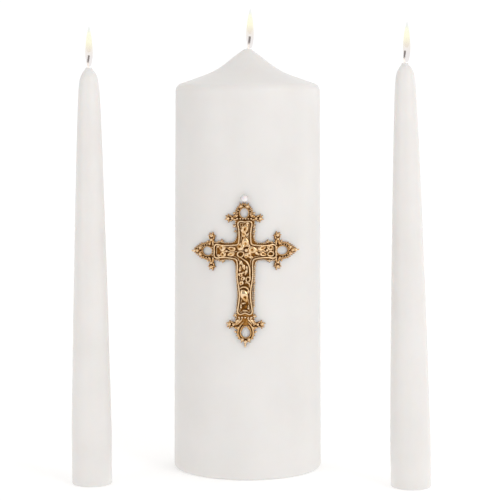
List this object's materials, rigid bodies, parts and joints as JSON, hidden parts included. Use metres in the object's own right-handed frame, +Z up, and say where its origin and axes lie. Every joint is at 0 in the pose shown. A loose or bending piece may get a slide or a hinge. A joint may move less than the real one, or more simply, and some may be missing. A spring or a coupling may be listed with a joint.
{
  "type": "unity candle set",
  "caption": "Wide moulded wax pillar with a pointed top and a curved antique-gold filigree cross pinned to its front, standing with slender tapers beside it.",
  "frame": {"origin": "on the pillar's axis, in the plane of its flat base", "axes": "+Z up along the pillar's axis; the cross faces -Y; +X is to the viewer's right"},
  "size_m": [0.1817, 0.1, 0.227],
  "materials": {
    "wax": "smooth moulded white wax, soft satin sheen, light scatters inside it",
    "wick": "braided cotton, charred at the tip",
    "tinplate": "plain tinned sheet",
    "label": "blank matt paper",
    "antique_gold": "antique gold plating, bright on the ridges and dark brown in the recesses",
    "pearl": "pearl lustre over a moulded bead",
    "pin_steel": "drawn wire"
  },
  "bodies": {
    "pillar": {"pillar_wax": "wax", "pillar_wick": "wick", "pillar_wick_sustainer": "tinplate", "pillar_base_label": "label", "pearl_head": "pearl", "pearl_pin_shank": "pin_steel", "cross_back_plate": "antique_gold", "cross_panel": "antique_gold", "cross_panel_rim": "antique_gold", "cross_vine_top": "antique_gold", "cross_vine_bottom": "antique_gold", "cross_vine_left": "antique_gold", "cross_vine_right": "antique_gold", "cross_flower": "antique_gold", "cross_flower_bead": "antique_gold", "finial_top": "antique_gold", "finial_left": "antique_gold", "finial_right": "antique_gold", "finial_bottom": "antique_gold", "finial_tip_left": "antique_gold", "finial_tip_right": "antique_gold", "finial_tip_bottom": "antique_gold", "cross_pin_left": "antique_gold", "cross_pin_right": "antique_gold", "cross_pin_lower": "antique_gold"},
    "taper_left": {"taper_left_wax": "wax", "taper_left_wick": "wick"},
    "taper_right": {"taper_right_wax": "wax", "taper_right_wick": "wick"}
  },
  "joints": [
    {"name": "taper_left_lift", "type": "slide", "parent": "pillar", "child": "taper_left", "axis": [0, 0, 1], "range_m": [0, 0.25]},
    {"name": "taper_right_lift", "type": "slide", "parent": "pillar", "child": "taper_right", "axis": [0, 0, 1], "range_m": [0, 0.25]}
  ]
}
